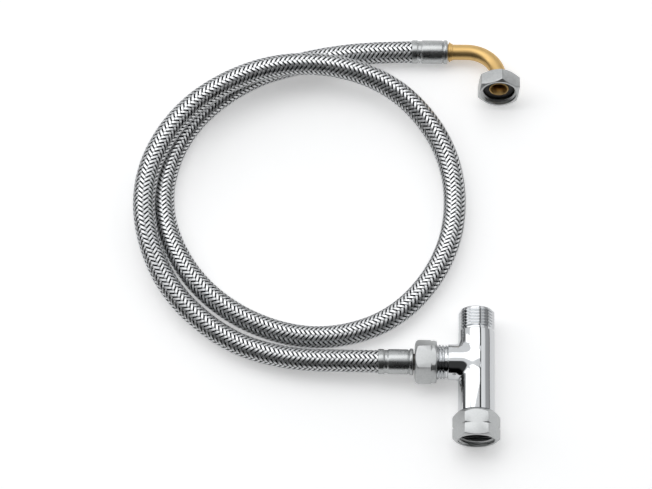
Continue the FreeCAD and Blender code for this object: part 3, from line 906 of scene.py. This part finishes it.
class SUPPLYLINE_OT_tee(Operator):
    """Turn the tee's run and branch, join them with a soft corner and cut their threads"""

    bl_idname = "supply_line.tee"
    bl_label = "Tee"

    def execute(self, context):
        tee, cut = sizes().tee, sizes().thread
        run, branch = tee_run(), tee_branch()
        start, end = run.span("tee_body")
        _, tip = branch.span("tee_body")
        outer = boolean(self.run(run, start, end), self.branch(branch, tip), "UNION")
        outer = boolean(outer, self.bore(run, start, end, tee.run_water), "DIFFERENCE")
        outer = boolean(outer, self.bore(branch, 0, tip, tee.branch_water), "DIFFERENCE")
        self.fillet(outer, run, tee)
        outlet = thread(run, end - tee.outlet_thread, end - 0.0004, cut.root, cut.crest)
        inlet = thread(branch, tip - tee.branch_thread, tip - 0.0002, cut.root, cut.crest)
        mesh = joined("tee", outer, outlet, inlet)
        finish_piece("tee", mesh, "line", "tee_body", ["tee_body"], chrome((0, 1, 0)), sharp=32)
        return {"FINISHED"}

    def run(self, line, start, end):
        tee, cut = sizes().tee, sizes().thread
        shoulder = start + tee.stub_length
        rings = [-0.012 + 0.0006 * k for k in range(41)]
        profile = [
            (0, start, 0),
            (tee.stub, start, 0.0004),
            (tee.stub, shoulder, 0),
            (tee.run, shoulder, 0.0004),
            *[(tee.run, place, 0) for place in rings],
            (tee.run, end - tee.outlet_thread, 0.0003),
            (cut.root, end - tee.outlet_thread + 0.0006, 0),
            (cut.root, end - 0.0006, 0.0002),
            (cut.root - 0.0006, end, 0.0002),
            (0, end, 0),
        ]
        return lathe(profile, line, steps=192)

    def branch(self, line, tip):
        tee, cut = sizes().tee, sizes().thread
        rings = [0.0006 * k for k in range(24)]
        profile = [
            (0, 0, 0),
            *[(tee.branch, place, 0) for place in rings],
            (tee.branch, tip - tee.branch_thread, 0.0003),
            (cut.root, tip - tee.branch_thread + 0.0005, 0),
            (cut.root, tip - 0.0005, 0.0002),
            (cut.root - 0.0005, tip, 0.0002),
            (0, tip, 0),
        ]
        return lathe(profile, line, steps=192)

    def bore(self, line, start, end, radius):
        over = 0.002 if start else 0
        profile = [(0, start - over, 0), (radius, start - over, 0), (radius, end + 0.002, 0)]
        return lathe([*profile, (0, end + 0.002, 0)], line, steps=96)

    def fillet(self, mesh, run, tee):
        """Push the skin near the corner out to a smooth blend of the two tubes."""
        middle, reach = run.point, tee.fillet
        for vert in mesh.vertices:
            x, y, z = vert.co - middle
            for _ in range(4):
                across_run = max(math.hypot(x, z), 1e-6)
                across_branch = max(math.hypot(y, z), 1e-6)
                from_run, from_branch = across_run - tee.run, across_branch - tee.branch
                mix = max(reach - abs(from_run - from_branch), 0) / reach
                near = max(abs(from_run), abs(from_branch)) < reach
                if x > 0.002 or not near or mix == 0:
                    break
                away = min(from_run, from_branch) - mix * mix * reach / 4
                share = 0.5 + 0.5 * (from_run - from_branch) / reach
                slope = Vector((x, 0, z)) / across_run * (1 - share)
                slope += Vector((0, y, z)) / across_branch * share
                step = slope * (-away / max(slope.length_squared, 1e-9))
                x, y, z = x + step.x, y + step.y, z + step.z
            vert.co = middle + Vector((x, y, z))


class SUPPLYLINE_OT_nuts(Operator):
    """Cut the three nuts from hexagonal bar, with their turned ends, and the inner threads of the swivel
    and elbow nuts
    """

    bl_idname = "supply_line.nuts"
    bl_label = "Nuts"

    def execute(self, context):
        self.swivel()
        self.coupling()
        self.elbow()
        return {"FINISHED"}

    def build(self, node, line, profile, threads):
        """Cross a hexagonal bar with a turned outline, round its edges and add its threads."""
        radius, corner = line.reach(node)
        start, end = line.span(node)
        bar = prism(radius, start - 0.001, end + 0.001, corner, line)
        turned = lathe(profile, line, steps=144)
        mesh = soften(boolean(turned, bar, "INTERSECT"), sizes().nuts.edge)
        mesh = joined(node, mesh, *threads)
        name = node.replace("_nut", "_nut_hexagon")
        finish_piece(name, mesh, node, node, [node], satin("Satin " + node, line.direction), sharp=40)

    def swivel(self):
        nuts, cut, tee = sizes().nuts, sizes().thread, sizes().tee
        line = swivel_line()
        node = "swivel_nut"
        start, end = line.span(node)
        corner, _ = line.reach(node)
        wall = tee.stub + 0.0001
        groove = start + nuts.notch
        half = (corner - nuts.notch_radius) * 0.4
        mouth = cut.crest + 0.0002
        profile = [
            (wall, start, 0.0002),
            (nuts.crown_radius, start, 0),
            (corner, start + nuts.crown, 0),
            (corner, groove - half, 0),
            (nuts.notch_radius, groove, 0),
            (corner, groove + half, 0),
            (corner, end - nuts.foot, 0),
            (nuts.foot_radius, end, 0),
            (mouth, end, 0),
            (cut.crest, end - 0.0006, 0),
            (cut.crest, start + 0.0046, 0),
            (wall, start + 0.0046, 0),
        ]
        inner = thread(line, start + 0.0075, end - 0.0002, cut.crest + 0.00005, cut.root)
        self.build(node, line, profile, [inner])

    def coupling(self):
        nuts, cut = sizes().nuts, sizes().thread
        line = tee_branch()
        node = "coupling_nut"
        start, end = line.span(node)
        corner, _ = line.reach(node)
        hole = sizes().ferrules.hole + 0.0004
        bore = cut.crest + 0.0001
        half = (corner - nuts.groove_radius) * 0.4
        reach = corner - nuts.dome_radius
        shoulder = end - nuts.dome
        profile = [
            (bore + 0.0006, start, 0),
            (nuts.rim_radius, start, 0),
            (nuts.collar_radius, start + 0.001, 0),
            (nuts.collar_radius, start + nuts.groove - half, 0),
            (nuts.groove_radius, start + nuts.groove, 0),
            (corner, start + nuts.groove + half, 0),
            (corner, shoulder, 0),
        ]
        for step in range(1, 12):
            turn = step / 12 * math.pi / 2
            profile.append(
                (nuts.dome_radius + reach * math.cos(turn), shoulder + nuts.dome * math.sin(turn), 0)
            )
        profile += [
            (nuts.dome_radius, end, 0),
            (hole, end, 0.0002),
            (hole, start + 0.008, 0),
            (bore, start + 0.008, 0),
            (bore, start + 0.0006, 0),
        ]
        self.build(node, line, profile, [])

    def elbow(self):
        nuts, cut = sizes().nuts, sizes().thread
        line = elbow_leg()
        node = "elbow_nut"
        start, end = line.span(node)
        corner, _ = line.reach(node)
        hole = sizes().elbow.tube + 0.0003
        profile = [
            (hole, start, 0.0002),
            (nuts.face_radius, start, 0),
            (corner, start + nuts.bevel, 0),
            (corner, end - nuts.bevel, 0),
            (nuts.face_radius, end, 0),
            (nuts.mouth_radius, end, 0),
            (cut.crest, end - 0.0007, 0),
            (cut.crest, start + 0.002, 0),
            (hole, start + 0.002, 0),
        ]
        inner = thread(line, start + 0.0045, end - 0.0001, cut.crest + 0.00005, cut.root)
        self.build(node, line, profile, [inner])


class SUPPLYLINE_OT_washers(Operator):
    """Turn the rubber washers that seal in the two open nuts"""

    bl_idname = "supply_line.washers"
    bl_label = "Washers"

    def execute(self, context):
        for node, line, hole in (
            ("swivel_washer", swivel_line(), 0.0055),
            ("elbow_washer", elbow_leg(), 0.0053),
        ):
            start, end = line.span(node)
            radius, _ = line.reach(node)
            profile = [
                (hole, start, 0.0002),
                (radius, start, 0.0003),
                (radius, end, 0.0003),
                (hole + 0.0006, end, 0.0002),
                (hole, end - 0.0004, 0.0001),
            ]
            mesh = lathe(profile, line, steps=128)
            finish_piece(node + "_ring", mesh, "line", node, [node], rubber("Washer rubber"))
        return {"FINISHED"}


class SUPPLYLINE_OT_ferrules(Operator):
    """Turn the two crimped ferrules that hold the hose's ends"""

    bl_idname = "supply_line.ferrules"
    bl_label = "Ferrules"

    def execute(self, context):
        for node, line, sleeve in (
            ("tee_ferrule", tee_branch(), 0.0073),
            ("elbow_ferrule", Line(ROUTE[-1], (-1, 0, 0)), 0.0069),
        ):
            start, end = line.span(node)
            bead, _ = line.reach(node)
            mesh = lathe(self.profile(start, end, sleeve, bead), line, steps=160)
            steel = stainless("Stainless " + node, line.direction)
            finish_piece(node + "_sleeve", mesh, "line", node, [node], steel, sharp=50)
        return {"FINISHED"}

    def profile(self, start, end, sleeve, bead):
        own = sizes().ferrules
        crimp_end = end - own.band
        crimp_start = crimp_end - own.crimp
        pressed = sleeve - own.depth
        wall = 0.0012
        return [
            (own.hole, start, 0.0001),
            (bead, start, 0.0009),
            (bead, start + own.bead, 0.0006),
            (sleeve - 0.0004, start + own.bead + 0.0003, 0.0001),
            (sleeve - 0.0004, start + own.bead + 0.0007, 0.0001),
            (sleeve, start + own.bead + 0.0011, 0.0002),
            (sleeve, crimp_start, 0.0004),
            (pressed, crimp_start + 0.0006, 0.0003),
            (pressed, crimp_end - 0.0004, 0.0003),
            (sleeve, crimp_end + 0.0002, 0.0004),
            (sleeve, end, 0.0004),
            (own.mouth, end, 0.0001),
            (own.mouth, start + wall, 0),
            (own.hole, start + wall, 0),
        ]


class SUPPLYLINE_OT_elbow(Operator):
    """Bend the brass tube and turn the collar, flange and lip at its ends"""

    bl_idname = "supply_line.elbow"
    bl_label = "Bent tube"

    def execute(self, context):
        self.barb()
        self.tube()
        self.flange()
        return {"FINISHED"}

    def barb(self):
        own = sizes().elbow
        line = Line(ROUTE[-1], (-1, 0, 0))
        start, end = line.span("elbow_barb")
        neck = start + 0.0012 + own.collar_length
        profile = [
            (own.tube - 0.0001, start, 0.0001),
            (own.socket, start, 0.0003),
            (own.socket, start + 0.0012, 0),
            (own.collar, start + 0.0012, 0.0002),
            (own.collar, neck - 0.0003, 0.0003),
            (0.0048, neck - 0.0003, 0),
            (0.0048, neck + 0.0015, 0),
            (0.004, neck + 0.0015, 0),
            (0.004, end, 0.0003),
            (0.003, end, 0.0003),
            (0.003, start + 0.002, 0),
            (own.tube - 0.0001, start + 0.002, 0),
        ]
        mesh = lathe(profile, line, steps=128)
        finish = brass("Turned brass collar", (1, 0, 0), 2200, 200)
        finish_piece("elbow_collar", mesh, "line", "elbow_barb", ["elbow_barb"], finish, sharp=50)

    def tube(self):
        own = sizes().elbow
        leg = elbow_leg()
        low, _ = elbow_hose().span("elbow_tube")
        far = leg.span("elbow_flange")[0] + 0.0004
        start = Vector(ROUTE[-1]) + Vector((low, 0, 0))
        corner = leg.point
        bend_start = corner - Vector((own.bend, 0, 0))
        centre = bend_start + leg.direction * own.bend
        bm = bmesh.new()
        facing = Matrix.Translation(start) @ Matrix.Rotation(math.pi / 2, 4, "Y")
        for radius in (own.tube, own.bore):
            bmesh.ops.create_circle(bm, segments=64, radius=radius, matrix=facing)
        bmesh.ops.bridge_loops(bm, edges=bm.edges[:])
        section = bm.faces[:]
        turn_axis = Vector((1, 0, 0)).cross(leg.direction)
        end = self.pushed(bm, section, bend_start - start, 6)
        end = self.turned(bm, end, centre, turn_axis, 40)
        leg_start = corner + leg.direction * own.bend
        self.pushed(bm, end, corner + leg.direction * far - leg_start, 4)
        bmesh.ops.recalc_face_normals(bm, faces=bm.faces)
        finish = brass("Drawn brass tube", (1, 0, 0), 60, 1500)
        mesh = as_mesh(bm)
        finish_piece("elbow_bent_tube", mesh, "line", "elbow_tube", ["elbow_tube"], finish, sharp=50)

    def pushed(self, bm, faces, way, steps):
        """Carry the section's faces straight on, leaving walls behind them."""
        for _ in range(steps):
            made = bmesh.ops.extrude_face_region(bm, geom=faces)["geom"]
            verts = [item for item in made if isinstance(item, bmesh.types.BMVert)]
            faces = [item for item in made if isinstance(item, bmesh.types.BMFace)]
            bmesh.ops.translate(bm, verts=verts, vec=way / steps)
        return faces

    def turned(self, bm, faces, centre, axis, steps):
        """Carry the section's faces round the bend."""
        step = Matrix.Rotation(math.pi / 2 / steps, 3, axis)
        for _ in range(steps):
            made = bmesh.ops.extrude_face_region(bm, geom=faces)["geom"]
            verts = [item for item in made if isinstance(item, bmesh.types.BMVert)]
            faces = [item for item in made if isinstance(item, bmesh.types.BMFace)]
            bmesh.ops.rotate(bm, verts=verts, cent=centre, matrix=step)
        return faces

    def flange(self):
        own = sizes().elbow
        line = elbow_leg()
        start, end = line.span("elbow_flange")
        seat, _ = line.reach("elbow_flange")
        washer_start, washer_end = line.span("elbow_washer")
        profile = [
            (own.tube, start, 0),
            (seat, start, 0.0002),
            (seat, washer_start, 0.0002),
            (0.0053, washer_start, 0),
            (0.0053, washer_end, 0),
            (own.lip, washer_end, 0.0001),
            (own.lip, end, 0.00025),
            (own.lip - 0.0005, end, 0.0002),
            (own.bore, end - 0.0034, 0.001),
            (own.bore, start + 0.0005, 0),
            (own.tube, start + 0.0005, 0),
        ]
        mesh = lathe(profile, line, steps=128)
        finish = brass("Turned brass lip", line.direction, 2200, 200)
        finish_piece("elbow_lip", mesh, "line", "elbow_flange", ["elbow_flange"], finish, sharp=50)


class SUPPLYLINE_OT_cord(Operator):
    bl_idname = "supply_line.cord"
    bl_label = "Cord"

    def execute(self, context):
        on_cord = [piece for piece in context.scene.objects if piece.name.startswith("braid_")]
        on_cord += [
            context.scene.objects[name]
            for name in (
                "elbow_ferrule_sleeve",
                "elbow_collar",
                "elbow_bent_tube",
                "elbow_lip",
                "elbow_washer_ring",
                "elbow_nut_hexagon",
            )
        ]
        return {"FINISHED"}


class SUPPLYLINE_OT_inner(Operator):
    """Give the pieces inside the fittings their finishes"""

    bl_idname = "supply_line.inner"
    bl_label = "Inner pieces"

    def execute(self, context):
        for node, finish in (
            (
                # painted shade: the nipple's brass is darkened to stand for the shadow in the gap beside
                # the ferrule
                "hose_nipple",
                finish_material(
                    "Brass in painted shade",
                    (0.10, 0.075, 0.045),
                    1,
                    0.4,
                    0.6,
                    0.6,
                    400,
                    (2200, 200, 1.2e-5, 0.4),
                    (1, 0, 0),
                ),
            ),
            ("swivel_snap_ring", stainless("Spring wire", (0, 1, 0))),
            ("coupling_washer", rubber("Washer rubber")),
        ):
            mesh = frame["nodes"][node].data
            mesh.materials.clear()
            mesh.materials.append(finish)
        return {"FINISHED"}


class SUPPLYLINE_PT_panel(Panel):
    """Buttons for the stage and each group of pieces"""

    bl_idname = "SUPPLYLINE_PT_panel"
    bl_label = "Supply line"
    bl_space_type = "VIEW_3D"
    bl_region_type = "UI"
    bl_category = "Supply line"

    def draw(self, context):
        for operator in OPERATORS:
            self.layout.operator(operator.bl_idname)


OPERATORS = (
    SUPPLYLINE_OT_stage,
    SUPPLYLINE_OT_hose,
    SUPPLYLINE_OT_tee,
    SUPPLYLINE_OT_nuts,
    SUPPLYLINE_OT_washers,
    SUPPLYLINE_OT_ferrules,
    SUPPLYLINE_OT_elbow,
    SUPPLYLINE_OT_cord,
    SUPPLYLINE_OT_inner,
)
GROUPS = (
    SUPPLYLINE_PG_braid,
    SUPPLYLINE_PG_thread,
    SUPPLYLINE_PG_tee,
    SUPPLYLINE_PG_nuts,
    SUPPLYLINE_PG_ferrules,
    SUPPLYLINE_PG_elbow,
    SUPPLYLINE_PG_colours,
    SUPPLYLINE_PG_sizes,
)


def register():
    for item in (*GROUPS, *OPERATORS, SUPPLYLINE_PT_panel):
        bpy.utils.register_class(item)
    bpy.types.Scene.supply_line = PointerProperty(type=SUPPLYLINE_PG_sizes)


def unregister():
    del bpy.types.Scene.supply_line
    for item in reversed((*GROUPS, *OPERATORS, SUPPLYLINE_PT_panel)):
        bpy.utils.unregister_class(item)


def main():
    register()
    bpy.ops.supply_line.stage()
    bpy.ops.supply_line.hose()
    bpy.ops.supply_line.tee()
    bpy.ops.supply_line.nuts()
    bpy.ops.supply_line.washers()
    bpy.ops.supply_line.ferrules()
    bpy.ops.supply_line.elbow()
    bpy.ops.supply_line.cord()
    bpy.ops.supply_line.inner()


if __name__ == "__main__":
    main()
